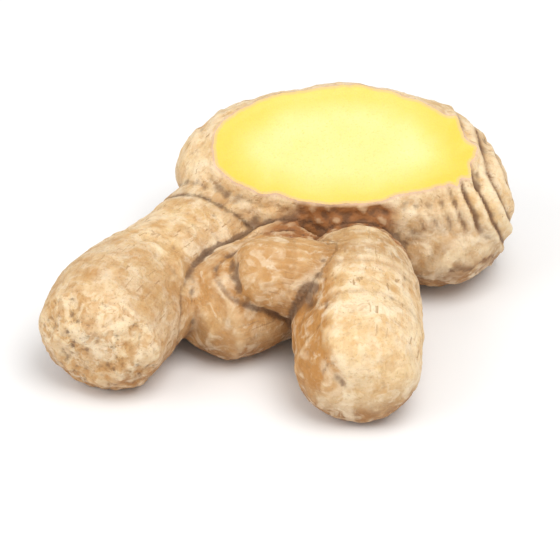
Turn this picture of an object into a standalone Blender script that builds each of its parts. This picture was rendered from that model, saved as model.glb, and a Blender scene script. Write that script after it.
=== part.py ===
"""A branched ginger rhizome that lies on its lobes, with one oblique knife cut across the ridged main lobe.

Metres, +Z up, +X along the longest side. Every length in the tables below is in millimetres.
"""

import bpy
import bmesh
import numpy as np
from mathutils import Matrix, Vector

MM = 0.001

# Each lobe is a row of stations along its axis: x, y, z, radius.
LOBES = {
    "main": (
        (-16.5, 21, 16, 6), (-14.5, 22.5, 18, 13.4), (-9, 24.6, 20, 18.6), (0, 26.5, 21.3, 20.8),
        (10, 26.5, 22, 22), (20, 26.7, 22, 22.2), (31, 26, 21, 20.6), (40, 23.5, 19.2, 18.4),
        (47, 22, 18.4, 15.4), (52, 21.5, 18.8, 10.5), (54, 21.5, 18.8, 5),
    ),
    "finger": (
        (18, 13, 13, 11.6), (18, 3, 12.9, 11.8), (18, -8.5, 14.7, 14.2), (18, -24, 14.8, 14.8),
        (18, -36, 14.2, 14.2), (17.8, -41, 13.8, 12.9), (17.4, -44.4, 13.4, 10), (17.2, -46, 13.2, 6),
    ),
    "spine": (
        (-4, 22, 17, 14), (-13, 15, 15.5, 13.8), (-21, 5, 14.7, 12.9), (-28, -5, 15, 13.6),
        (-34.5, -15, 15, 15), (-38.4, -23, 15, 15), (-40.6, -29.4, 14.2, 13.4), (-42, -33, 13.6, 8.5),
    ),
    "middle": (
        (4, 5, 13, 12), (-3, -5, 12.8, 12.7), (-11, -11, 12.6, 12.6), (-16.5, -14.5, 12, 10.6),
        (-19, -17, 11.8, 6),
    ),
    "small": (
        (18, -12, 15.8, 12.5), (11, -13, 19, 10.2), (4, -13.6, 21.6, 9.2), (-2, -14, 23, 8.5),
        (-6.4, -14.6, 23.4, 7.6), (-9, -15, 23.2, 5),
    ),
    "shoulder": (
        (34, 19, 15.5, 14.5), (40, 15, 13.8, 13), (44, 11.5, 11.6, 10), (46.4, 9.6, 9.8, 6), (47.4, 8.8, 9, 3),
    ),
    "nub": ((44, 22, 24, 7), (49.8, 22, 25.5, 4.6), (53, 22, 26, 2.4)),
}

STATION_GAP = 1.5        # length between the sections of a lobe
RING_GAP = 7.0           # length between the ring scars
RING_RISE = 0.03         # height of a ring scar, as a share of the radius
SIDES = 5                # bevel resolution of a lobe
VOXEL = 1.3              # size of the cells that weld the lobes together
SMOOTH_FACTOR, SMOOTH_TURNS = 0.5, 5
KEEP_SHARE = 0.175       # share of the faces that is kept

CUT_POINT = (14.0, 6.0, 29.4)      # a point on the cut face, at the front rim
CUT_TILT_DEG = 25.0                # tilt of the cut face toward -Y
CUT_SIZE = (95.0, 60.0, 40.0)      # the wedge that the knife takes off
CUT_LEFT, CUT_FRONT = -19.0, 2.5   # where the knife's way ends

GROUND = 0.6             # how much of the lowest skin is pressed flat
GROUND_SIZE = (160.0, 160.0, 20.0)

SKIN_COLOUR = (0.72, 0.52, 0.31, 1.0)
SKIN_ROUGHNESS = 0.75


def clear_file():
    """Takes out the objects and meshes that a new file starts with."""
    for thing in list(bpy.data.objects):
        bpy.data.objects.remove(thing, do_unlink=True)
    for group in list(bpy.data.collections):
        bpy.data.collections.remove(group)


def collection(name):
    """A collection of this name in the scene."""
    made = bpy.data.collections.new(name)
    bpy.context.scene.collection.children.link(made)
    return made


def skin_material():
    """The plain tan skin."""
    made = bpy.data.materials.new("ginger_skin")
    made.use_nodes = True
    shader = made.node_tree.nodes["Principled BSDF"]
    shader.inputs["Base Color"].default_value = SKIN_COLOUR
    shader.inputs["Roughness"].default_value = SKIN_ROUGHNESS
    return made


def stations(rows):
    """Stations at an even gap along a lobe, with the radius swelling at every ring scar."""
    rows = np.array(rows, dtype=float)
    step = np.linalg.norm(np.diff(rows[:, :3], axis=0), axis=1)
    along = np.concatenate([[0.0], np.cumsum(step)])
    at = np.linspace(0.0, along[-1], max(4, int(along[-1] / STATION_GAP)))
    slope = np.gradient(rows, along, axis=0)
    k = np.clip(np.searchsorted(along, at, side="right") - 1, 0, len(along) - 2)
    h = (along[k + 1] - along[k])[:, None]
    t = ((at - along[k])[:, None]) / h
    smooth = (
        (2 * t**3 - 3 * t**2 + 1) * rows[k]
        + (t**3 - 2 * t**2 + t) * h * slope[k]
        + (3 * t**2 - 2 * t**3) * rows[k + 1]
        + (t**3 - t**2) * h * slope[k + 1]
    )
    phase = (at / RING_GAP) % 1.0
    smooth[:, 3] *= 1.0 + RING_RISE * (phase - 0.5)
    return smooth


def lobe_mesh(name, rows):
    """A closed tube along a lobe's stations, from a curve with a round bevel."""
    curve = bpy.data.curves.new(name, "CURVE")
    curve.dimensions = "3D"
    curve.bevel_depth = MM
    curve.bevel_resolution = SIDES
    curve.use_fill_caps = True
    spots = stations(rows)
    spline = curve.splines.new("POLY")
    spline.points.add(len(spots) - 1)
    for point, (x, y, z, radius) in zip(spline.points, spots):
        point.co = (x * MM, y * MM, z * MM, 1.0)
        point.radius = radius
    tube = bpy.data.objects.new(name, curve)
    mesh = bpy.data.meshes.new_from_object(tube)
    bpy.data.objects.remove(tube, do_unlink=True)
    bpy.data.curves.remove(curve)
    return mesh


def box(name, size, matrix, home):
    """A box of this size in millimetres, placed by a matrix, used only to cut."""
    mesh = bpy.data.meshes.new(name)
    form = bmesh.new()
    bmesh.ops.create_cube(form, size=1.0, matrix=matrix @ Matrix.Diagonal((*(s * MM for s in size), 1.0)))
    form.to_mesh(mesh)
    form.free()
    made = bpy.data.objects.new(name, mesh)
    made.hide_render = True
    made.display_type = "WIRE"
    home.objects.link(made)
    return made


def knife(home):
    """The wedge above the cut plane: its floor is the cut face, its front and left walls end the cut."""
    turn = Matrix.Rotation(np.radians(CUT_TILT_DEG), 4, "X")
    face = Matrix.Translation(Vector(CUT_POINT) * MM) @ turn
    width, depth, height = CUT_SIZE
    middle = Vector((CUT_LEFT - CUT_POINT[0] + width / 2, CUT_FRONT - CUT_POINT[1] + depth / 2, height / 2))
    return box("knife", CUT_SIZE, face @ Matrix.Translation(middle * MM), home)


def floor_block(home):
    """The block that presses the lowest skin flat."""
    drop = GROUND_SIZE[2] / 2 - GROUND
    return box("floor_block", GROUND_SIZE, Matrix.Translation((0.0, 0.0, -drop * MM)), home)


def subtract(target, tool):
    """An exact boolean that takes the tool away from the target."""
    cut = target.modifiers.new(tool.name, "BOOLEAN")
    cut.operation = "DIFFERENCE"
    cut.solver = "EXACT"
    cut.object = tool


def ginger_root(home, tools):
    """The whole rhizome as one closed body."""
    form = bmesh.new()
    for name, rows in LOBES.items():
        mesh = lobe_mesh(name, rows)
        form.from_mesh(mesh)
        bpy.data.meshes.remove(mesh)
    body = bpy.data.meshes.new("ginger_root")
    form.to_mesh(body)
    form.free()
    made = bpy.data.objects.new("ginger_root", body)
    home.objects.link(made)
    body.materials.append(skin_material())

    weld = made.modifiers.new("weld", "REMESH")
    weld.mode = "VOXEL"
    weld.voxel_size = VOXEL * MM
    soften = made.modifiers.new("soften", "SMOOTH")
    soften.factor = SMOOTH_FACTOR
    soften.iterations = SMOOTH_TURNS
    thin = made.modifiers.new("thin", "DECIMATE")
    thin.ratio = KEEP_SHARE
    subtract(made, knife(tools))
    subtract(made, floor_block(tools))
    return made


def seat(made, tools):
    """Moves the rhizome and its cutters so that the middle of its box is over the origin, at z = 0."""
    bpy.context.view_layer.update()
    shaped = made.evaluated_get(bpy.context.evaluated_depsgraph_get())
    spots = np.empty(len(shaped.data.vertices) * 3)
    shaped.data.vertices.foreach_get("co", spots)
    spots = spots.reshape(-1, 3)
    low, high = spots.min(axis=0), spots.max(axis=0)
    shift = Matrix.Translation((-(low[0] + high[0]) / 2, -(low[1] + high[1]) / 2, -low[2]))
    for thing in (made, *tools.objects):
        thing.data.transform(shift)
    print("size mm", np.round((high - low) / MM, 2), "shift mm", np.round(np.array(shift.translation) / MM, 3))


def main():
    clear_file()
    home = collection("ginger_root_parts")
    tools = collection("cutters")
    seat(ginger_root(home, tools), tools)


main()
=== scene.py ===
import math

import bpy
import bmesh
import numpy as np
from bpy.props import FloatProperty, FloatVectorProperty, PointerProperty
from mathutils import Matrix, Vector

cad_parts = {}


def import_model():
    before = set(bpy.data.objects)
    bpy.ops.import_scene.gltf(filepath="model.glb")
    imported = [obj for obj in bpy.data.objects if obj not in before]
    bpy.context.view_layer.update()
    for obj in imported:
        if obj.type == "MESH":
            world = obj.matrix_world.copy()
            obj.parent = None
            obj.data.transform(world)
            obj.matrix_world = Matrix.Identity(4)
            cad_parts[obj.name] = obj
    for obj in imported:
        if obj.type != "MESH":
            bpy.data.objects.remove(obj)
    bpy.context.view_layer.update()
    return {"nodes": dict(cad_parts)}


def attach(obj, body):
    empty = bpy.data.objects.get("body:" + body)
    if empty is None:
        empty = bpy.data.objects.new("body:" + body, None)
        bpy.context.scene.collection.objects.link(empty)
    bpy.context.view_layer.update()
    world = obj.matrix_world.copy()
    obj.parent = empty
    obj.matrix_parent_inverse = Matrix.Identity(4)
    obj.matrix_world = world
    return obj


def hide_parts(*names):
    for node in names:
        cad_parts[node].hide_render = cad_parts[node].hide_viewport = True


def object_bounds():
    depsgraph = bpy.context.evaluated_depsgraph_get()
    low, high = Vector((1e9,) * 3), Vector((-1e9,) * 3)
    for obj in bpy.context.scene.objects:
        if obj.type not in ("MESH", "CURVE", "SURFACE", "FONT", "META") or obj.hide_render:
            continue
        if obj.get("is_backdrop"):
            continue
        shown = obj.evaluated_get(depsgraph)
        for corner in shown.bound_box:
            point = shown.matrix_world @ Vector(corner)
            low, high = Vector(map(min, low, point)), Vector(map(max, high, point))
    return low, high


bl_info = {
    "name": "Ginger root",
    "version": (1, 0, 0),
    "blender": (4, 5, 0),
    "location": "View3D > Sidebar > Ginger",
    "description": "Builds a branched ginger rhizome with a knife-cut face, and a pale stage with soft light",
    "category": "Object",
}

MM = 0.001
frame = None

# Stations along the axis of each lobe, in millimetres: x, y, z, radius.
LOBES = {
    "main": (
        (-16.5, 21, 16, 6), (-14.5, 22.5, 18, 13.4), (-9, 24.6, 20, 18.6), (0, 26.5, 21.3, 20.8),
        (10, 26.5, 22, 22), (20, 26.7, 22, 22.2), (31, 26, 21, 20.6), (40, 23.5, 19.2, 18.4),
        (47, 22, 18.4, 15.4), (52, 21.5, 18.8, 10.5), (54, 21.5, 18.8, 5),
    ),
    "finger": (
        (18, 13, 13, 11.6), (18, 3, 12.9, 11.8), (18, -8.5, 14.7, 14.2), (18, -24, 14.8, 14.8),
        (18, -36, 14.2, 14.2), (17.8, -41, 13.8, 12.9), (17.4, -44.4, 13.4, 10), (17.2, -46, 13.2, 6),
    ),
    "spine": (
        (-4, 22, 17, 14), (-13, 15, 15.5, 13.8), (-21, 5, 14.7, 12.9), (-28, -5, 15, 13.6),
        (-34.5, -15, 15, 15), (-38.4, -23, 15, 15), (-40.6, -29.4, 14.2, 13.4), (-42, -33, 13.6, 8.5),
    ),
    "middle": (
        (4, 5, 13, 12), (-3, -5, 12.8, 12.7), (-11, -11, 12.6, 12.6), (-16.5, -14.5, 12, 10.6),
        (-19, -17, 11.8, 6),
    ),
    "small": (
        (18, -12, 15.8, 12.5), (11, -13, 19, 10.2), (4, -13.6, 21.6, 9.2), (-2, -14, 23, 8.5),
        (-6.4, -14.6, 23.4, 7.6), (-9, -15, 23.2, 5),
    ),
    "shoulder": (
        (34, 19, 15.5, 14.5), (40, 15, 13.8, 13), (44, 11.5, 11.6, 10), (46.4, 9.6, 9.8, 6), (47.4, 8.8, 9, 3),
    ),
    "nub": ((44, 22, 24, 7), (49.8, 22, 25.5, 4.6), (53, 22, 26, 2.4)),
}

# Where the ring scars are along each lobe, in millimetres, and how far they stand up.
RINGS = {
    "main": ((5, 12, 19, 26.5, 33.5, 40, 45, 49.2, 53, 56.4, 60.2, 63.6, 67, 70.6, 74, 77.4), 2.4),
    "finger": ((9, 20, 31, 42, 51), 0.55),
    "spine": ((8, 17, 24.5, 31, 40), 0.5),
    "middle": ((8, 15, 22, 27), 0.35),
    "small": ((17, 22, 26), 0.3),
    "shoulder": ((6, 9.5, 12.5, 15), 0.6),
    "nub": ((4, 8), 0.3),
}

# How far the rings of a lobe lean back toward its foot, per length of height above the middle.
RING_LEAN = {"main": 0.38, "shoulder": 0.2}
RING_MIDDLE = 20.0

# The main lobe's rings follow x and a little y, from its left end, and not its bent axis.
MAIN_START = (-16.5, 24.0)
MAIN_PACE = (1.09, 0.12)

# How golden brown the skin of a lobe is, and of the lobes that are not named; on the middle knob this is partly
# painted shadow of a loose cut piece that is not built.
WARMTH = {"small": 0.95, "middle": 0.6, "spine": 0.3}
OTHER_WARMTH = 0.08

# Blunt, crumbly ends: lobe, reach back from the end, spread over its neighbours, strength.
BLUNT_ENDS = (("spine", 7.5, 2.0, 1.0), ("finger", 2.5, 1.5, 0.45), ("small", 2.5, 0.8, 0.6))

# Soft spots: the middle and the reach along each axis, in millimetres.
WEBS = (((9, -16, 24), (8, 7, 6)), ((42, 10, 16), (9, 8, 8)), ((17.2, -48, 13.2), (8, 4, 8)))
WEB_TURNS = 22
GROWN_TOGETHER = (((14, -12, 29), (11, 14, 8)), ((44, 14, 14), (9, 12, 14)))
SMOOTH_CHEEK = ((36, 3, 12), (6.5, 6, 9))
SCAR = ((15.5, -1.5, 25.5), (19, 10.5, 9.5))
DIMPLE = ((6.6, -25.6, 23), (3.2, 2.8, 3.2))

CUT_POINT = np.array([14.0, 6.0, 29.4])
CUT_TILT = math.radians(25.0)
CUT_LEFT, CUT_FRONT = -19.0, 2.5
PRESSED = 0.6

FLOOR_COLOUR, FLOOR_ROUGHNESS = (0.92, 0.92, 0.92), 0.6
LIGHT_SIZE = 0.6
LIGHTS = (("key", (0.25, -0.3, 0.85), 1.0), ("fill", (-0.65, -0.35, 0.55), 0.45))
CAMERA_AIM = (0.0, -0.006, 0.0145)


# ---------------------------------------------------------------- numbers


def fade(low, high, x):
    """0 below low, 1 above high, and 3t^2 - 2t^3 between them."""
    t = np.clip((x - low) / (high - low), 0.0, 1.0)
    return t * t * (3.0 - 2.0 * t)


def bump(x, width):
    """A bell: exp(-(x / width)^2)."""
    return np.exp(-((x / width) ** 2))


def hashed(cells, seed):
    """A number from 0 to 1 for each whole-numbered cell, from multiplying and folding its three indices."""
    x, y, z = (cells[..., i] for i in range(3))
    h = (x * 374761393 + y * 668265263 + z * 1440662683 + seed * 1274126177) & 0xFFFFFFFF
    h = ((h ^ (h >> 13)) * 1274126177) & 0xFFFFFFFF
    h = ((h ^ (h >> 15)) * 2246822519) & 0xFFFFFFFF
    return ((h ^ (h >> 16)) & 0xFFFF) / 65535.0


def value_noise(points, seed):
    """Value noise from -1 to 1: the numbers at a cell's eight corners, blended by 6t^5 - 15t^4 + 10t^3."""
    cell = np.floor(points).astype(np.int64)
    t = points - cell
    t = t**3 * (t * (t * 6.0 - 15.0) + 10.0)
    total = np.zeros(len(points))
    for corner in np.ndindex(2, 2, 2):
        share = np.prod(np.where(np.array(corner) == 1, t, 1.0 - t), axis=1)
        total += share * hashed(cell + np.array(corner), seed)
    return total * 2.0 - 1.0


def fractal(points, octaves, seed):
    """Sum of value noise at doubling frequency and halving height, scaled back to about -1 to 1."""
    total, height = np.zeros(len(points)), 1.0
    for k in range(octaves):
        total += height * value_noise(points * 2.0**k + 17.0 * k, seed + k)
        height *= 0.5
    return total / (2.0 - 2.0 ** (1 - octaves))


def cells_noise(points, seed):
    """Distance to the nearest and the second nearest of one jittered point per cell."""
    cell = np.floor(points).astype(np.int64)
    first = np.full(len(points), 9.0)
    second = np.full(len(points), 9.0)
    for step in np.ndindex(3, 3, 3):
        near = cell + np.array(step) - 1
        spot = near + np.stack([hashed(near, seed + k) for k in range(3)], axis=1)
        gap = np.linalg.norm(points - spot, axis=1)
        second = np.minimum(second, np.maximum(first, gap))
        first = np.minimum(first, gap)
    return first, second


def off_middle(points, spot):
    """Distance from the middle of a soft spot, as a share of its reach."""
    middle, reach = spot
    return np.linalg.norm((points - np.array(middle, dtype=float)) / np.array(reach, dtype=float), axis=1)


def stations(rows, gap):
    """Stations at an even gap along a lobe, on cubic Hermite pieces through the given ones."""
    rows = np.array(rows, dtype=float)
    along = np.concatenate([[0.0], np.cumsum(np.linalg.norm(np.diff(rows[:, :3], axis=0), axis=1))])
    at = np.linspace(0.0, along[-1], max(4, int(along[-1] / gap)))
    slope = np.gradient(rows, along, axis=0)
    k = np.clip(np.searchsorted(along, at, side="right") - 1, 0, len(along) - 2)
    h = (along[k + 1] - along[k])[:, None]
    t = (at - along[k])[:, None] / h
    spots = (
        (2 * t**3 - 3 * t**2 + 1) * rows[k]
        + (t**3 - 2 * t**2 + t) * h * slope[k]
        + (3 * t**2 - 2 * t**3) * rows[k + 1]
        + (t**3 - t**2) * h * slope[k + 1]
    )
    return spots, at


def tube(spots, sides):
    """Vertices and faces of a closed tube round the stations.

    Vertex (i, j) = axis_i + radius_i (cos a_j side_i + sin a_j up_i), a_j = 2 pi j / sides.
    """
    axis, radius = spots[:, :3], spots[:, 3]
    ahead = np.gradient(axis, axis=0)
    ahead /= np.linalg.norm(ahead, axis=1, keepdims=True)
    side = np.cross(ahead, [0.0, 0.0, 1.0])
    side /= np.linalg.norm(side, axis=1, keepdims=True)
    up = np.cross(side, ahead)
    a = np.arange(sides) * 2.0 * np.pi / sides
    ring = np.cos(a)[None, :, None] * side[:, None] + np.sin(a)[None, :, None] * up[:, None]
    points = (axis[:, None] + radius[:, None, None] * ring).reshape(-1, 3)
    n = len(spots)
    i, j = np.meshgrid(np.arange(n - 1), np.arange(sides), indexing="ij")
    k = (j + 1) % sides
    quads = np.stack([i * sides + j, i * sides + k, (i + 1) * sides + k, (i + 1) * sides + j], axis=-1)
    caps = [list(range(sides))[::-1], list(range((n - 1) * sides, n * sides))]
    return points, quads.reshape(-1, 4).tolist() + caps


def lobe_field(points, rows):
    """Where each point is on a lobe: distance outside its skin, length along it, angle round it from the top.

    The lobe's whole length comes last.

    On piece k from a to b, t = clip((p - a).(b - a) / |b - a|^2, 0, 1), and the distance is
    |p - a - t (b - a)| - (r_a + t (r_b - r_a)); the piece with the least distance counts.
    """
    spots, along = stations(rows, 2.0)
    best = np.full(len(points), np.inf)
    far, off, ahead = np.zeros(len(points)), np.zeros((len(points), 3)), np.zeros((len(points), 3))
    for k in range(len(spots) - 1):
        a, b = spots[k], spots[k + 1]
        d = b[:3] - a[:3]
        t = np.clip((points - a[:3]) @ d / (d @ d), 0.0, 1.0)
        out = points - a[:3] - t[:, None] * d
        r = a[3] + t * (b[3] - a[3])
        gap = np.linalg.norm(out, axis=1) - r
        new = gap < best
        best = np.where(new, gap, best)
        far = np.where(new, along[k] + t * (along[k + 1] - along[k]), far)
        off = np.where(new[:, None], out, off)
        ahead = np.where(new[:, None], d / np.linalg.norm(d), ahead)
    side = np.cross(ahead, [0.0, 0.0, 1.0])
    side /= np.linalg.norm(side, axis=1, keepdims=True)
    up = np.cross(side, ahead)
    angle = np.arctan2(np.sum(off * side, axis=1), np.sum(off * up, axis=1))
    return best, far, angle, along[-1]


def ring_relief(far, angle, points, places, rise, seed):
    """Overlapping ring scars: between two scars the skin climbs as t^1.7, then drops over the last tenth.

    Returns the height, how near the papery edge is (0 to 1), and how near the foot of the step is.
    """
    places = np.array((-4.0, *places, places[-1] + 6.0))
    wander = far + 1.3 * fractal(points / 13.0, 2, seed) + 0.14 * value_noise(points / 1.6, seed + 5)
    k = np.clip(np.searchsorted(places, wander, side="right") - 1, 0, len(places) - 2)
    gap = places[k + 1] - places[k]
    t = np.clip((wander - places[k]) / gap, 0.0, 1.0)
    ends = t * gap
    left = gap - ends
    strength = 0.72 + 0.45 * value_noise(np.stack([angle * 0.9, k * 7.3, k * 0.0 + seed], axis=1), seed + 9)
    drop = fade(0.0, 1.15, left)
    height = rise * strength * t**1.7 * drop
    edge = strength * bump(left - 1.0, 0.6)
    foot = strength * np.maximum(bump(ends, 0.7), bump(left, 0.45))
    return height, np.clip(edge, 0, 1), np.clip(foot, 0, 1)


# ---------------------------------------------------------------- meshes


def mesh_arrays(mesh):
    """Vertex places and normals in millimetres."""
    n = len(mesh.vertices)
    places, normals = np.empty(n * 3), np.empty(n * 3)
    mesh.vertices.foreach_get("co", places)
    mesh.vertices.foreach_get("normal", normals)
    return places.reshape(-1, 3) / MM, normals.reshape(-1, 3)


def welded_lobes(shape):
    """One mesh of all the lobes, welded by a voxel remesh and softened a little."""
    points, faces = [], []
    for rows in LOBES.values():
        spots, _ = stations(rows, 1.0)
        p, f = tube(spots, 48)
        start = sum(len(x) for x in points)
        points.append(p)
        faces += [[v + start for v in face] for face in f]
    raw = bpy.data.meshes.new("lobes")
    raw.from_pydata(np.concatenate(points) * MM, [], faces)
    holder = bpy.data.objects.new("lobes", raw)
    bpy.context.scene.collection.objects.link(holder)
    weld = holder.modifiers.new("weld", "REMESH")
    weld.mode = "VOXEL"
    weld.voxel_size = shape.voxel
    soften = holder.modifiers.new("soften", "SMOOTH")
    soften.factor = 0.5
    soften.iterations = 6
    done = bpy.data.meshes.new_from_object(holder.evaluated_get(bpy.context.evaluated_depsgraph_get()))
    bpy.data.objects.remove(holder)
    bpy.data.meshes.remove(raw)
    return done


def plane_height(points):
    """Height above the cut plane: (p - c) . (0, -sin tilt, cos tilt)."""
    return (points - CUT_POINT) @ np.array([0.0, -math.sin(CUT_TILT), math.cos(CUT_TILT)])


def edge_mean(mesh, values):
    """Mean of the values at the vertices that share an edge with each vertex."""
    ends = np.empty(len(mesh.edges) * 2, dtype=np.int32)
    mesh.edges.foreach_get("vertices", ends)
    a, b = ends.reshape(-1, 2).T
    count = np.bincount(a, minlength=len(values)) + np.bincount(b, minlength=len(values))
    values = values.reshape(len(values), -1)
    total = np.stack(
        [
            np.bincount(a, values[b, i], minlength=len(values)) + np.bincount(b, values[a, i], minlength=len(values))
            for i in range(values.shape[1])
        ],
        axis=1,
    )
    return total / np.maximum(count, 1)[:, None]


def write(mesh, name, values):
    """A number, or three numbers, at each vertex, for the materials to read."""
    values = np.asarray(values, dtype=np.float32)
    kind, field = ("FLOAT_VECTOR", "vector") if values.ndim == 2 else ("FLOAT", "value")
    mesh.attributes.new(name, kind, "POINT").data.foreach_set(field, values.ravel())


def relief(points, shape):
    """How far the skin stands out from the smooth lobes, in millimetres, and the marks that the colours read."""
    fields = {name: lobe_field(points, rows) for name, rows in LOBES.items()}
    names = list(fields)
    gaps = np.stack([fields[n][0] for n in names], axis=1)
    order = np.argsort(gaps, axis=1)
    rows = np.arange(len(points))
    nearest, second = gaps[rows, order[:, 0]], gaps[rows, order[:, 1]]
    owner = order[:, 0]
    share = np.exp(-(gaps - nearest[:, None]) / 0.5)
    share /= share.sum(axis=1, keepdims=True)

    rise, edge, foot = np.zeros(len(points)), np.zeros(len(points)), np.zeros(len(points))
    grain = np.zeros((len(points), 3))
    for i, name in enumerate(names):
        _, far, angle, _ = fields[name]
        places, height = RINGS[name]
        if name == "main":
            far = MAIN_PACE[0] * (points[:, 0] - MAIN_START[0]) + MAIN_PACE[1] * (points[:, 1] - MAIN_START[1])
        lean = far + RING_LEAN.get(name, 0.0) * (points[:, 2] - RING_MIDDLE)
        h, e, f = ring_relief(lean, angle, points, places, height * shape.ring_rise, 30 + 11 * i)
        if name == "main":
            high = plane_height(points)
            calm = 1.0 - 0.85 * fade(-4.5, -1.0, high) * fade(44.0, 34.0, points[:, 0])
            calm *= 1.0 - 0.75 * fade(-12.0, -5.0, high) * fade(28.0, 34.0, points[:, 1])
            calm *= 1.0 - 0.7 * fade(35.0, 26.0, points[:, 0]) * fade(24.0, 12.0, points[:, 1])
            calm *= 1.0 - 0.55 * fade(44.0, 34.0, points[:, 0])
            calm *= 1.0 - 0.8 * bump(off_middle(points, SMOOTH_CHEEK), 1.0)
            h, e, f = h * calm, e * calm, f * calm
        mark = 1.0 if name in ("main", "shoulder") else 0.4
        rise += share[:, i] * h
        edge += share[:, i] * e * mark
        foot += share[:, i] * f * mark
        own = owner == i
        grain[own] = np.stack([far, angle * 12.0, np.full(len(points), 60.0 * i)], axis=1)[own]
    marks = {"edge": edge, "foot": foot, "grain": grain}
    joined = np.max([bump(off_middle(points, spot), 1.0) for spot in GROWN_TOGETHER], axis=0)
    wide = np.exp(-(gaps - nearest[:, None]) / 2.5)
    wide /= wide.sum(axis=1, keepdims=True)
    warm = np.array([WARMTH.get(name, OTHER_WARMTH) for name in names])
    marks["warm"] = wide @ warm
    # Painted shade in the folds between lobes, and along the narrow creases where they meet, which are also pressed
    # in.
    marks["fold"] = bump(second - nearest, 2.6)
    marks["seam"] = bump(second - nearest, 0.9) * (1.0 - np.clip(1.6 * joined, 0.0, 1.0))
    return rise, marks, fields


def ginger_mesh(shape, materials):
    """The rhizome's outside: welded lobes, pushed along their normals by the relief, with the cut laid flat."""
    mesh = welded_lobes(shape)
    mesh.name = "ginger_root_look"
    mesh.materials.clear()
    for material in materials:
        mesh.materials.append(material)
    points, _ = mesh_arrays(mesh)

    # Skin drawn smooth between the finger and its neighbours, at the shoulder and on the finger's tip.
    web = np.max([bump(off_middle(points, spot), 1.0) for spot in WEBS], axis=0)
    for _ in range(WEB_TURNS):
        points += web[:, None] * (edge_mean(mesh, points) - points)
    mesh.vertices.foreach_set("co", (points * MM).ravel())
    mesh.update()
    points, normals = mesh_arrays(mesh)
    rise, marks, fields = relief(points, shape)
    tips = np.zeros(len(points))
    for field in fields.values():
        gap, far, _, length = field
        tips = np.maximum(tips, bump(np.clip(gap, 0.0, None), 1.5) * fade(length - 11.0, length - 5.0, far))
    tips *= points[:, 0] < 38.0
    rise *= 1.0 - tips
    marks["edge"] *= 1.0 - tips
    marks["foot"] *= 1.0 - tips

    lumps = 0.8 * fractal(points / 13.0, 3, 3) + 0.36 * fractal(points / 3.8, 3, 7)
    streaks = fractal(marks["grain"] * [0.14, 0.6, 1.0], 3, 12)
    push = shape.lumps * lumps + rise + 0.16 * streaks * (1.0 - tips) - 0.4 * marks["seam"]
    push += 0.14 * fractal(points / 1.3, 2, 19)

    # The finger has a soft ridge left of its top and a flatter side beside it, golden partly in its own skin and
    # partly as painted shade from the small knob above it.
    gap, far, angle, _ = fields["finger"]
    on_finger = bump(np.clip(gap, 0.0, None), 1.5) * fade(20.0, 30.0, far) * fade(59.0, 52.0, far)
    turn = angle + 0.22 * fractal(points / 7.0, 3, 25)
    push += on_finger * (0.55 * bump(turn - 0.36, 0.24) - 1.3 * bump(turn - 0.95, 0.45))
    # Painted shade: the skin turns umber brown where it faces down and lies low.
    marks["low"] = fade(0.25, -0.75, normals[:, 2]) * fade(26.0, 4.0, points[:, 2])
    gold = on_finger * fade(0.3, 0.7, turn + 0.25 * fractal(points / 3.0, 3, 23)) * fade(2.2, 1.6, angle)

    # Crumbs at the blunt ends.
    rough = np.zeros(len(points))
    for name, reach, spread, strength in BLUNT_ENDS:
        gap, far, _, length = fields[name]
        own = bump(np.clip(gap, 0, None), spread)
        rough = np.maximum(rough, strength * own * fade(length - reach - 2.5, length - reach + 2.5, far))
    rough *= 0.55 + 0.45 * fade(-0.2, 0.5, fractal(points / 5.0, 2, 41) + 0.3)
    bent = points + 0.9 * np.stack([fractal(points / 2.0, 2, 50 + k) for k in range(3)], axis=1)
    first, second = cells_noise(bent / 4.2, 55)
    finer, finer_second = cells_noise(bent / 1.7, 77)
    plates = 0.7 * fade(0.0, 0.16, second - first) + 0.3 * fade(0.0, 0.25, finer_second - finer)
    crumbs = 0.5 * plates - 0.45 + 0.9 * fractal(points / 2.8, 4, 58)
    push += rough * crumbs

    # The fibrous scar between the finger and the cut; its colour is partly painted shade under the cut's rim.
    scar = fade(1.15, 0.75, off_middle(points, SCAR) + 0.12 * fractal(points / 3.0, 2, 66))
    scar *= fade(-0.3, -0.9, plane_height(points))
    slant = points @ np.array([[0.9, 0.25, 0.0], [0.5, -0.9, 0.0], [0.2, 0.3, 0.4]])
    push += scar * 0.7 * fractal(slant * [0.45, 1.3, 0.6], 3, 61)

    # The dimple under the small knob, pressed in and darkened with painted shade.
    dimple = bump(off_middle(points, DIMPLE), 1.0)
    push -= 0.8 * dimple

    # The skin draws in under the front rim of the cut.
    height = plane_height(points)
    inside = (points[:, 1] > CUT_FRONT) & (points[:, 0] > CUT_LEFT)
    under = bump(height + 2.2, 1.0) * fade(-19.0, -14.0, points[:, 0]) * (points[:, 1] > 0)
    push -= 0.5 * under * fade(24.0, 12.0, points[:, 1])

    points = points + normals * push[:, None]
    points += np.clip(marks["edge"] + marks["foot"], 0.0, 0.6)[:, None] * (edge_mean(mesh, points) - points)
    mesh.vertices.foreach_set("co", (points * MM).ravel())
    tips = np.maximum(tips, bump(np.clip(fields["shoulder"][0], 0.0, None), 2.0))
    marks |= {"rough": rough, "crack": rough * (1.0 - plates), "tips": tips}
    marks |= {"scar": scar, "dimple": dimple, "gold": gold}
    for name, values in marks.items():
        write(mesh, name, values)
    return lay_cut(mesh)


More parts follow.
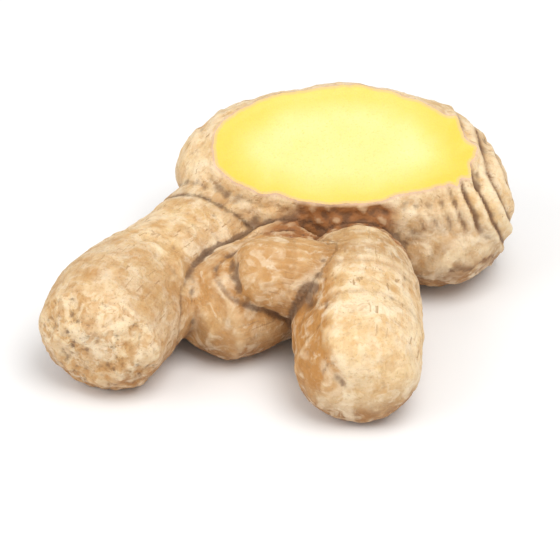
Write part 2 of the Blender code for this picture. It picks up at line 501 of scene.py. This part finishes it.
def lay_cut(mesh):
    """Splits the mesh along the cut plane and lays what is above it, inside the knife's way, onto the plane."""
    form = bmesh.new()
    form.from_mesh(mesh)
    plane = (CUT_POINT * MM).tolist()
    normal = (0.0, -math.sin(CUT_TILT), math.cos(CUT_TILT))
    bmesh.ops.bisect_plane(form, geom=form.verts[:] + form.edges[:] + form.faces[:], dist=1e-7,
                           plane_co=plane, plane_no=normal)
    bmesh.ops.triangulate(form, faces=[f for f in form.faces if len(f.verts) > 4])
    form.to_mesh(mesh)
    form.free()
    points, _ = mesh_arrays(mesh)
    height = plane_height(points)
    inside = (points[:, 1] > CUT_FRONT) & (points[:, 0] > CUT_LEFT)
    cut = inside & (height > -1e-3)
    rim = cut & (height < 1e-3)
    top = cut & ~rim
    normal = np.array(normal)
    points[top] -= height[top, None] * normal

    # Distance from the rim, for the flesh and for the skin beside it.
    rim_points = points[rim]
    near = np.full(len(points), 99.0)
    beside = np.where(cut | (inside & (height > -8.0)))[0]
    for part in np.array_split(beside, max(1, len(beside) // 2000)):
        gap = np.linalg.norm(points[part, None] - rim_points[None], axis=2)
        near[part] = gap.min(axis=1)
    dip = 0.25 * fade(0.0, 3.0, near[top]) + 0.05 * fractal(points[top] / 2.5, 2, 81)
    points[top] -= dip[:, None] * normal
    points[:, 2] = np.maximum(points[:, 2], PRESSED)

    # Into the frame's own box, so that the outside keeps its size.
    low, high = (np.array(v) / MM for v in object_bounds())
    start, end = points.min(axis=0), points.max(axis=0)
    points = low + (points - start) * (high - low) / (end - start)
    mesh.vertices.foreach_set("co", (points * MM).ravel())
    write(mesh, "near_rim", np.minimum(near, 30.0))
    write(mesh, "cut", cut.astype(float))
    mesh.update()

    corners = np.empty(len(mesh.loops), dtype=np.int32)
    mesh.loops.foreach_get("vertex_index", corners)
    first = np.empty(len(mesh.polygons), dtype=np.int32)
    mesh.polygons.foreach_get("loop_start", first)
    flesh = np.minimum.reduceat(cut[corners].astype(int), first).astype(np.int32)
    mesh.polygons.foreach_set("material_index", flesh)
    mesh.polygons.foreach_set("use_smooth", np.ones(len(flesh), dtype=bool))
    ends = np.empty(len(mesh.edges) * 2, dtype=np.int32)
    mesh.edges.foreach_get("vertices", ends)
    sharp = rim[ends.reshape(-1, 2)].all(axis=1)
    mesh.attributes.new("sharp_edge", "BOOLEAN", "EDGE").data.foreach_set("value", sharp)

    # How deep each vertex lies below its neighbours, along its normal, for painted shade in the hollows and a
    # painted highlight on the rises.
    points, normals = mesh_arrays(mesh)
    sunk = np.sum((edge_mean(mesh, edge_mean(mesh, points)) - points) * normals, axis=1)
    sunk = edge_mean(mesh, sunk)[:, 0]
    write(mesh, "sunk", np.clip(sunk / 0.12, -1, 1))
    return mesh


# ---------------------------------------------------------------- materials


class Wire:
    """An output socket that can be added, subtracted and multiplied."""

    def __init__(self, graph, socket):
        self.graph, self.socket = graph, socket

    def maths(self, operation, *others, swap=False):
        """A Math node on this socket and the others."""
        values = [self, *others]
        if swap:
            values.reverse()
        return self.graph.node("ShaderNodeMath", {"operation": operation}, *values)

    def __add__(self, other):
        return self.maths("ADD", other)

    __radd__ = __add__

    def __mul__(self, other):
        return self.maths("MULTIPLY", other)

    __rmul__ = __mul__

    def __sub__(self, other):
        return self.maths("SUBTRACT", other)

    def __rsub__(self, other):
        return self.maths("SUBTRACT", other, swap=True)

    def __neg__(self):
        return self.maths("MULTIPLY", -1.0)

    def larger(self, other):
        return self.maths("MAXIMUM", other)

    def smaller(self, other):
        return self.maths("MINIMUM", other)

    def fade(self, low, high):
        """0 below low, 1 above high, smooth between."""
        return self.graph.node(
            "ShaderNodeMapRange", {"interpolation_type": "SMOOTHSTEP"}, self, low, high, 0.0, 1.0
        )


class Graph:
    """The nodes of one material."""

    def __init__(self, name):
        self.material = bpy.data.materials.new(name)
        self.material.use_nodes = True
        self.nodes = self.material.node_tree.nodes
        self.links = self.material.node_tree.links
        self.shader = self.nodes["Principled BSDF"]

    def node(self, kind, settings, *values, **named):
        """A node of this kind with these settings. Values go to its sockets in order, named ones by name."""
        made = self.nodes.new(kind)
        for key, value in settings.items():
            setattr(made, key, value)
        sockets = [s for s in made.inputs if s.enabled]
        pairs = list(zip(sockets, values)) + [(made.inputs[k.replace("_", " ")], v) for k, v in named.items()]
        for socket, value in pairs:
            if isinstance(value, Wire):
                self.links.new(value.socket, socket)
            elif value is not None:
                socket.default_value = value
        return Wire(self, next(s for s in made.outputs if s.enabled))

    def mark(self, name, field="Fac"):
        """One of the mesh's own numbers."""
        made = self.nodes.new("ShaderNodeAttribute")
        made.attribute_name = name
        return Wire(self, made.outputs[field])

    def places(self, scale=(1.0, 1.0, 1.0)):
        """Object coordinates in millimetres, times a scale."""
        spot = Wire(self, self.nodes.new("ShaderNodeTexCoord").outputs["Object"])
        return self.node("ShaderNodeVectorMath", {"operation": "MULTIPLY"}, spot, tuple(s / MM for s in scale))

    def noise(self, vector, size, detail=3.0, rough=0.55, twist=0.0):
        """Noise, 0 to 1, with blobs about this many millimetres across."""
        settings = {"Vector": vector, "Scale": 1.0 / size, "Detail": detail, "Roughness": rough, "Distortion": twist}
        return self.node("ShaderNodeTexNoise", {}, **settings)

    def mix(self, factor, a, b, blend="MIX"):
        """A mix of two colours."""
        made = self.nodes.new("ShaderNodeMix")
        made.data_type, made.blend_type = "RGBA", blend
        for socket, value in ((made.inputs[0], factor), (made.inputs[6], a), (made.inputs[7], b)):
            if isinstance(value, Wire):
                self.links.new(value.socket, socket)
            elif isinstance(value, (int, float)):
                socket.default_value = value
            else:
                socket.default_value = (*value[:3], 1.0)
        return Wire(self, made.outputs[2])

    def set(self, name, value):
        """A socket of the material's shader."""
        socket = self.shader.inputs[name]
        if isinstance(value, Wire):
            self.links.new(value.socket, socket)
        else:
            socket.default_value = value

    def relief(self, height, strength, depth):
        """A bump of this depth in millimetres into the shader's normal."""
        made = self.node("ShaderNodeBump", {}, Height=height, Strength=strength, Distance=depth * MM)
        self.links.new(made.socket, self.shader.inputs["Normal"])


def skin_material(look):
    """Papery tan skin: golden and pinkish patches, fine fibres along the lobes, brown scars and edges, with painted
    shade in the creases, hollows and undersides and painted highlights on the rises.
    """
    g = Graph("skin")
    spot = g.places()
    grain = g.mark("grain", "Vector")
    fibre = g.node("ShaderNodeVectorMath", {"operation": "MULTIPLY"}, grain, (0.16, 0.9, 1.0))
    fibre = g.noise(fibre, 1.0, 4.0, 0.6, 0.3)
    fibre = fibre + g.mark("tips") * (g.noise(spot, 1.2, 4.0, 0.6) - fibre)
    cloud = g.noise(spot, 9.0, 4.0, 0.6, 0.4)
    patch = g.noise(spot, 4.0, 3.0, 0.6)
    fine = g.noise(spot, 0.7, 3.0, 0.65)
    speck = g.noise(spot, 0.45, 2.0, 0.5)

    colour = g.mix(cloud.fade(0.38, 0.62), look.skin, look.pale)
    colour = g.mix(g.noise(spot, 6.5, 5.0, 0.65, 0.6).fade(0.46, 0.66) * 0.4, colour, look.gold)
    colour = g.mix(patch.fade(0.5, 0.7) * 0.3, colour, look.gold)
    colour = g.mix(g.noise(spot, 2.6, 2.0, 0.5, 0.8).fade(0.56, 0.7) * 0.22, colour, look.brown)
    # Golden brown per lobe, partly painted shadow on the middle knob.
    warm = g.mark("warm") + 1.0 * (patch - 0.5)
    colour = g.mix(warm.fade(0.05, 0.85) * 0.8, colour, look.honey)
    # The finger's golden side: partly its own tone, partly painted shade.
    colour = g.mix((g.mark("gold") * (0.65 + 0.9 * patch)).smaller(1.0), colour, look.honey)
    # Painted shade on the undersides.
    colour = g.mix((g.mark("low") * (0.6 + 1.1 * cloud)).smaller(0.9), colour, look.umber_and_shade)
    # Painted shade in the folds between lobes.
    colour = g.mix(g.mark("fold") * (0.2 + 0.9 * patch) * 0.7, colour, look.umber_and_shade)
    colour = g.mix(fibre.fade(0.52, 0.75) * 0.4, colour, look.gold)
    colour = g.mix(fibre.fade(0.48, 0.25) * 0.4, colour, look.pale)
    mottle = g.noise(spot, 8.0, 2.5, 0.5, 1.5)
    colour = g.mix(mottle.fade(0.47, 0.32) * 0.22, colour, look.honey)
    colour = g.mix(mottle.fade(0.5, 0.66) * 0.4, colour, look.cream)
    blotch = g.noise(spot, 3.6, 2.0, 0.5, 1.0)
    colour = g.mix(blotch.fade(0.45, 0.32) * 0.28, colour, look.honey)
    colour = g.mix(blotch.fade(0.54, 0.68) * 0.35, colour, look.cream)
    colour = g.mix(fine.fade(0.52, 0.7) * 0.32, colour, look.brown)
    fleck = g.node("ShaderNodeVectorMath", {"operation": "MULTIPLY"}, grain, (0.22, 0.75, 1.0))
    fleck = g.noise(fleck, 0.8, 3.0, 0.6, 0.6)
    colour = g.mix(fleck.fade(0.6, 0.68) * (1.0 - g.mark("tips")) * 0.75, colour, look.brown)

    rough = g.mark("rough")
    crumb = g.noise(spot, 3.4, 3.0, 0.6, 0.8)
    colour = g.mix(rough * crumb.fade(0.46, 0.62) * 0.4, colour, look.cream)
    colour = g.mix(rough * crumb.fade(0.52, 0.42) * 0.6, colour, look.honey)
    colour = g.mix(rough * fine.fade(0.56, 0.68) * 0.45, colour, look.umber_and_shade)
    colour = g.mix(g.mark("crack").fade(0.4, 0.9) * crumb.fade(0.4, 0.6) * 0.5, colour, look.brown)

    # The scar's orange-brown, darkened as painted shade under the cut's rim, with dark fibres.
    scar = g.mark("scar")
    slant = g.node("ShaderNodeVectorMath", {"operation": "MULTIPLY"}, spot, (0.5, 1.6, 0.6))
    streak = g.noise(slant, 1.6, 4.0, 0.65, 0.5)
    colour = g.mix((scar * (0.9 + 0.8 * streak)).smaller(1.0), colour, look.rust_and_shade)
    colour = g.mix(scar * streak.fade(0.55, 0.7) * 0.7, colour, look.dark)

    # Cream papery edges of the ring scars, which also act as a painted highlight on their crests.
    edge = g.mark("edge") * g.noise(spot, 1.4, 3.0, 0.6).fade(0.4, 0.62)
    colour = g.mix(edge * 0.75, colour, look.cream)
    # Brown lines at the foot of the ring scars, with painted shade in the narrow gaps under each step.
    foot = g.mark("foot")
    colour = g.mix((foot * (0.4 + fine)).smaller(1.0) * 0.9, colour, look.umber_and_shade)
    colour = g.mix(foot.fade(0.5, 0.95) * patch.fade(0.3, 0.55) * 0.8, colour, look.dark)
    # Painted shade in the hollows, and a painted highlight on the rises.
    sunk = g.mark("sunk")
    colour = g.mix(sunk.fade(0.08, 0.9) * 0.75, colour, look.dark)
    colour = g.mix((-sunk).fade(0.1, 0.9) * 0.35, colour, look.pale)
    # Painted shade along the creases where lobes meet.
    seam = g.mark("seam")
    colour = g.mix(seam.fade(0.2, 1.0) * patch.fade(0.35, 0.65) * 0.5, colour, look.dark)
    # Painted shade in the dimple.
    colour = g.mix(g.mark("dimple").fade(0.3, 1.0) * 0.5, colour, look.dark)
    colour = g.mix(speck.fade(0.7, 0.76) * 0.5, colour, look.dark)

    near = g.mark("near_rim")
    colour = g.mix(near.fade(1.0, 0.2) * 0.7, colour, look.pink)

    g.set("Base Color", colour)
    g.set("Roughness", 0.62 + 0.2 * fine)
    g.set("Subsurface Weight", 0.06)
    g.set("Subsurface Radius", (1.0, 0.5, 0.2))
    g.set("Subsurface Scale", 0.002)
    g.relief(0.4 * fibre + 0.35 * fine + 0.9 * blotch + 0.8 * rough * crumb, 1.0, 0.5)
    return g.material


def flesh_material(look):
    """Moist yellow flesh: pale in the middle, golden toward the rim and the right tip, with painted shadow on the
    left part, a thin rind and fine fibre dots.
    """
    g = Graph("flesh")
    spot = g.places()
    near = g.mark("near_rim")
    wander = near + 4.0 * (g.noise(spot, 9.0, 3.0) - 0.5)
    across = g.node("ShaderNodeSeparateXYZ", {}, spot)
    # Golden toward the right tip, and on the left a painted shadow of a loose cut piece that is not built.
    side = across.fade(26.0, 46.0).larger((-across).fade(-4.0, 14.0) * 0.6)
    wander = wander - 7.0 * side
    colour = g.mix(wander.fade(-3.5, 5.0), look.rim_flesh, look.flesh)
    middle = g.noise(spot, 14.0, 2.0)
    colour = g.mix(wander.fade(2.0, 10.0) * (0.6 + 0.4 * middle.fade(0.2, 0.8)), colour, look.heart)
    dots = g.noise(spot, 0.5, 2.0, 0.6)
    colour = g.mix(dots.fade(0.55, 0.72) * 0.4, colour, look.dots)
    colour = g.mix(near.fade(0.95, 0.35) * 0.8, colour, look.rind)
    g.set("Base Color", colour)
    g.set("Roughness", 0.34 + 0.2 * dots)
    g.set("Coat Weight", 0.15)
    g.set("Coat Roughness", 0.3)
    g.set("Subsurface Weight", 0.25)
    g.set("Subsurface Radius", (1.0, 0.7, 0.15))
    g.set("Subsurface Scale", 0.003)
    g.relief(dots + 0.7 * g.noise(spot, 2.2, 3.0), 0.35, 0.2)
    return g.material


def plain_material(name, colour, roughness):
    """One colour and one roughness."""
    g = Graph(name)
    g.set("Base Color", (*colour, 1.0))
    g.set("Roughness", roughness)
    return g.material


# ---------------------------------------------------------------- add-on


def colour_property(name, text, value):
    return FloatVectorProperty(name=name, description=text, subtype="COLOR", size=3, min=0.0, max=1.0, default=value)


class GingerShape(bpy.types.PropertyGroup):
    """The shape of the rhizome."""

    voxel: FloatProperty(
        name="Cell", description="Size of the cells that weld the lobes", default=0.00064, min=0.0003, unit="LENGTH"
    )
    ring_rise: FloatProperty(name="Ring scars", description="Height of the ring scars", default=1.0, min=0.0)
    lumps: FloatProperty(name="Lumps", description="Height of the uneven swellings", default=1.0, min=0.0)


class GingerLook(bpy.types.PropertyGroup):
    """The colours of the rhizome."""

    skin: colour_property("Skin", "Tan of the skin", (0.79, 0.56, 0.29))
    pale: colour_property("Pale skin", "Lighter tan", (0.87, 0.67, 0.41))
    cream: colour_property("Cream skin", "Cream of the worn patches", (0.93, 0.79, 0.57))
    gold: colour_property("Golden skin", "Golden patches and crumbly ends", (0.66, 0.36, 0.11))
    # Golden brown of the small knobs, also used as painted shade on the finger's side and the middle knob.
    honey: colour_property("Honey skin", "Golden brown of the small knobs", (0.50, 0.23, 0.055))
    # Umber brown of the crumbly ends, also used as painted shade on the undersides, in the folds and at the foot of
    # the ring scars.
    umber_and_shade: colour_property("Shaded skin", "Brown of the undersides and the folds", (0.28, 0.115, 0.03))
    pink: colour_property("Rim skin", "Pinkish line of skin along the cut", (0.74, 0.50, 0.34))
    # Orange-brown of the fibrous scar, darkened to serve also as painted shade under the cut's rim.
    rust_and_shade: colour_property("Scar", "Orange-brown of the fibrous scar", (0.34, 0.135, 0.038))
    brown: colour_property("Brown", "Fibres and small marks", (0.40, 0.22, 0.09))
    # Dark of the fibres and specks, also used as painted shade in the creases, hollows, the dimple and the gaps
    # under the ring scars.
    dark: colour_property("Crease", "Creases", (0.14, 0.065, 0.028))
    flesh: colour_property("Flesh", "Yellow of the flesh", (0.84, 0.66, 0.14))
    heart: colour_property("Heart", "Pale yellow in the middle of the flesh", (0.87, 0.77, 0.31))
    rim_flesh: colour_property("Outer flesh", "Golden flesh near the rim", (0.85, 0.60, 0.07))
    rind: colour_property("Rind", "Thin rind between flesh and skin", (0.78, 0.52, 0.22))
    dots: colour_property("Fibre ends", "Cut fibre ends in the flesh", (0.80, 0.58, 0.10))


class GingerStage(bpy.types.PropertyGroup):
    """The floor, the lights and the camera."""

    floor: FloatProperty(name="Floor", description="Width of the floor", default=6.0, unit="LENGTH")
    power: FloatProperty(name="Power", description="Power of the key light", default=5.5, unit="POWER")
    sky: FloatProperty(name="Sky", description="Brightness of the surroundings", default=0.6)
    lens: FloatProperty(name="Lens", description="Focal length", default=285.0, unit="CAMERA")
    height: FloatProperty(name="Height", description="Camera's angle above the floor", default=math.radians(34.0),
                          unit="ROTATION")
    distance: FloatProperty(name="Distance", description="From the camera to the root", default=1.0, unit="LENGTH")


class OBJECT_OT_ginger_root(bpy.types.Operator):
    """Builds the ginger rhizome in place of the plain one"""

    bl_idname = "object.ginger_root_build"
    bl_label = "Build ginger root"

    def execute(self, context):
        look = context.scene.ginger_look
        mesh = ginger_mesh(context.scene.ginger_shape, (skin_material(look), flesh_material(look)))
        piece = bpy.data.objects.new("ginger_root_look", mesh)
        context.scene.collection.objects.link(piece)
        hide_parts("ginger_root")
        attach(piece, "root")
        return {"FINISHED"}


class OBJECT_OT_ginger_stage(bpy.types.Operator):
    """Lays a pale floor and sets soft lights and the camera"""

    bl_idname = "object.ginger_stage_build"
    bl_label = "Build stage"

    def execute(self, context):
        stage = context.scene.ginger_stage
        half = stage.floor / 2
        mesh = bpy.data.meshes.new("floor")
        corners = [(-half, -half, 0), (half, -half, 0), (half, half, 0), (-half, half, 0)]
        mesh.from_pydata(corners, [], [(0, 1, 2, 3)])
        mesh.materials.append(plain_material("floor", FLOOR_COLOUR, FLOOR_ROUGHNESS))
        floor = bpy.data.objects.new("floor", mesh)
        context.scene.collection.objects.link(floor)
        floor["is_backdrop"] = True

        world = bpy.data.worlds.new("surroundings")
        world.use_nodes = True
        back = world.node_tree.nodes["Background"]
        back.inputs["Color"].default_value = (1.0, 1.0, 1.0, 1.0)
        back.inputs["Strength"].default_value = stage.sky
        context.scene.world = world
        context.scene.view_settings.view_transform = "Standard"

        for name, place, share in LIGHTS:
            light = bpy.data.lights.new(name, "AREA")
            light.size, light.energy = LIGHT_SIZE, stage.power * share
            holder = bpy.data.objects.new(name, light)
            holder.location = place
            holder.rotation_euler = (-Vector(place)).to_track_quat("-Z", "Y").to_euler()
            context.scene.collection.objects.link(holder)

        lens = bpy.data.cameras.new("camera")
        lens.lens = stage.lens
        camera = bpy.data.objects.new("camera", lens)
        aim = Vector(CAMERA_AIM)
        away = Vector((0.0, -math.cos(stage.height), math.sin(stage.height)))
        camera.location = aim + away * stage.distance
        camera.rotation_euler = (-away).to_track_quat("-Z", "Y").to_euler()
        lens.clip_start, lens.clip_end = 0.01, 20.0
        context.scene.collection.objects.link(camera)
        context.scene.camera = camera
        return {"FINISHED"}


class VIEW3D_PT_ginger(bpy.types.Panel):
    """The add-on's panel"""

    bl_label = "Ginger root"
    bl_idname = "VIEW3D_PT_ginger"
    bl_space_type = "VIEW_3D"
    bl_region_type = "UI"
    bl_category = "Ginger"

    def draw(self, context):
        for group, names in (
            (context.scene.ginger_shape, ("voxel", "ring_rise", "lumps")),
            (context.scene.ginger_look, ("skin", "pale", "gold", "rust_and_shade", "flesh", "heart")),
            (context.scene.ginger_stage, ("power", "sky", "lens", "height", "distance")),
        ):
            for name in names:
                self.layout.prop(group, name)
        self.layout.operator(OBJECT_OT_ginger_root.bl_idname)
        self.layout.operator(OBJECT_OT_ginger_stage.bl_idname)


CLASSES = (
    GingerShape, GingerLook, GingerStage, OBJECT_OT_ginger_root, OBJECT_OT_ginger_stage, VIEW3D_PT_ginger,
)


def register():
    for cls in CLASSES:
        bpy.utils.register_class(cls)
    bpy.types.Scene.ginger_shape = PointerProperty(type=GingerShape)
    bpy.types.Scene.ginger_look = PointerProperty(type=GingerLook)
    bpy.types.Scene.ginger_stage = PointerProperty(type=GingerStage)


def unregister():
    del bpy.types.Scene.ginger_shape, bpy.types.Scene.ginger_look, bpy.types.Scene.ginger_stage
    for cls in reversed(CLASSES):
        bpy.utils.unregister_class(cls)


def main():
    """Registers the add-on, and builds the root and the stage."""
    global frame
    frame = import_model()
    register()
    bpy.ops.object.ginger_root_build()
    bpy.ops.object.ginger_stage_build()


if __name__ == "__main__":
    main()
